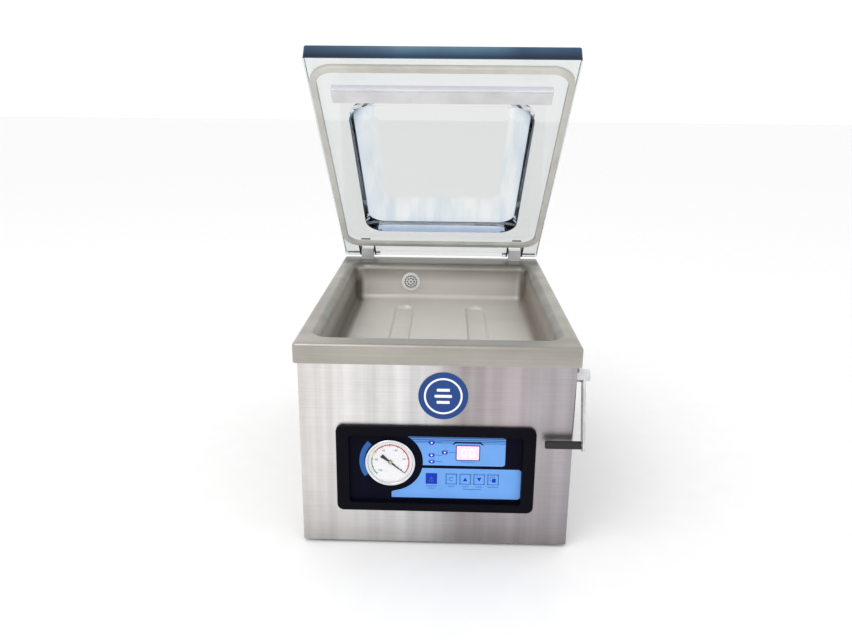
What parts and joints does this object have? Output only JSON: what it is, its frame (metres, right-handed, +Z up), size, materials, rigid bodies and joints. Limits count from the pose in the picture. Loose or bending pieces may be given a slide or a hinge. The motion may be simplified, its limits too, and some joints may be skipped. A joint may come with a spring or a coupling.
{
  "type": "chamber vacuum packing machine",
  "caption": "Table-top chamber vacuum packer with hinged clear lid, lifting seal bar, gauge, membrane keys and side press lever",
  "frame": {"origin": "on the table, at the middle of the machine's footprint", "axes": "+X to the operator's right, +Y to the rear, +Z up; the lid stands open"},
  "size_m": [0.3412, 0.5006, 0.5813],
  "materials": {
    "stainless_deck": "satin brushed stainless sheet",
    "stainless_cabinet": "horizontally brushed stainless sheet",
    "galvanised": "plain zinc",
    "clear_acrylic": "clear polished acrylic",
    "gasket_rubber": "matt silicone rubber",
    "white_silicone": "matt silicone rubber",
    "white_plastic": "satin moulded plastic",
    "aluminium": "extruded, natural",
    "black_gloss": "glossy moulded plastic",
    "black_rubber": "matt rubber",
    "panel_print": "printed membrane foil",
    "key_blue": "printed membrane foil",
    "key_print": "printed membrane foil",
    "display_red": "lit display window",
    "lamp_white": "lens",
    "board_green": "circuit board",
    "dial_white": "printed dial",
    "clear_glass": "clear pane",
    "needle_black": "painted pointer",
    "chrome_rim": "bright rim",
    "badge_blue": "printed badge",
    "steel": "bright steel",
    "cast_grey": "painted casting",
    "copper_winding": "enamelled winding",
    "brass": "machined brass",
    "ptfe_brown": "ptfe coated glass cloth",
    "black_plastic": "moulded plastic"
  },
  "bodies": {
    "base": {"deck_pan": "stainless_deck", "cabinet_wrap": "stainless_cabinet", "base_plate": "galvanised", "rubber_feet": "black_rubber", "rear_panel": "stainless_cabinet", "cabinet_screws": "steel", "panel_bezel": "black_gloss", "control_panel": "panel_print", "display_window": "display_red", "indicator_lamps": "lamp_white", "control_board": "board_green", "gauge_case": "black_plastic", "gauge_rim": "chrome_rim", "gauge_dial": "dial_white", "gauge_glass": "clear_glass", "round_badge": "badge_blue", "port_grille": "white_plastic", "port_fitting": "brass", "lift_cylinders": "aluminium", "hinge_blocks": "aluminium", "lever_boss": "steel", "lever_bolt": "steel", "pump_body": "cast_grey", "motor_housing": "cast_grey", "motor_stator": "copper_winding", "fan_cowl": "black_plastic", "pump_mounts": "black_rubber", "motor_saddle": "galvanised", "oil_sight_glass": "clear_glass", "exhaust_filter": "black_plastic", "vacuum_hose": "black_rubber", "solenoid_valves": "brass", "valve_bracket": "galvanised", "transformer_core": "cast_grey", "transformer_coil": "copper_winding", "mains_inlet": "black_plastic", "fuse_holder": "black_plastic", "switch_housing": "black_plastic"},
    "lid": {"lid_plate": "clear_acrylic", "lid_gasket": "gasket_rubber", "pad_holder": "aluminium", "silicone_pad": "white_silicone", "hinge_pins": "steel"},
    "seal_bar": {"seal_bar": "aluminium", "heating_band": "steel", "ptfe_tape": "ptfe_brown", "seal_bar_pins": "steel"},
    "press_lever": {"lever_arm": "steel", "lever_grip": "black_rubber"},
    "gauge_needle": {"gauge_needle": "needle_black"},
    "start_key": {"start_key": "key_blue"},
    "set_key": {"set_key": "key_print"},
    "up_key": {"up_key": "key_print"},
    "down_key": {"down_key": "key_print"},
    "stop_key": {"stop_key": "key_print"},
    "power_rocker": {"power_rocker": "black_plastic"},
    "motor_rotor": {"motor_shaft": "steel", "pump_rotor": "steel", "motor_armature": "copper_winding", "cooling_fan": "black_plastic"}
  },
  "joints": [
    {"name": "lid_hinge", "type": "hinge", "parent": "base", "child": "lid", "pos_m": [0, 0.2322, 0.26865], "axis": [1, 0, 0], "range_deg": [0, 41.08], "stiffness_Nm_per_rad": 8, "springref_deg": -85.94},
    {"name": "seal_bar_lift", "type": "slide", "parent": "base", "child": "seal_bar", "axis": [0, 0, 1], "range_m": [0, 0.0128]},
    {"name": "press_lever_pivot", "type": "hinge", "parent": "base", "child": "press_lever", "pos_m": [0.1695, -0.2224, 0.2186], "axis": [-1, 0, 0], "range_deg": [0, 192.5]},
    {"name": "gauge_needle_turn", "type": "hinge", "parent": "base", "child": "gauge_needle", "pos_m": [-0.0533, -0.2399, 0.111], "axis": [0, -1, 0], "range_deg": [0, 262]},
    {"name": "power_rocker_tilt", "type": "hinge", "parent": "base", "child": "power_rocker", "pos_m": [0.11, 0.2366, 0.082], "axis": [1, 0, 0], "range_deg": [0, 12]},
    {"name": "motor_spin", "type": "hinge", "parent": "base", "child": "motor_rotor", "pos_m": [-0.05, 0.05, 0.088], "axis": [0, 1, 0], "continuous": true},
    {"name": "start_key_press", "type": "slide", "parent": "base", "child": "start_key", "axis": [0, 1, 0], "range_m": [0, 0.0004], "stiffness_N_per_m": 600},
    {"name": "set_key_press", "type": "slide", "parent": "base", "child": "set_key", "axis": [0, 1, 0], "range_m": [0, 0.0004], "stiffness_N_per_m": 600},
    {"name": "up_key_press", "type": "slide", "parent": "base", "child": "up_key", "axis": [0, 1, 0], "range_m": [0, 0.0004], "stiffness_N_per_m": 600},
    {"name": "down_key_press", "type": "slide", "parent": "base", "child": "down_key", "axis": [0, 1, 0], "range_m": [0, 0.0004], "stiffness_N_per_m": 600},
    {"name": "stop_key_press", "type": "slide", "parent": "base", "child": "stop_key", "axis": [0, 1, 0], "range_m": [0, 0.0004], "stiffness_N_per_m": 600}
  ]
}
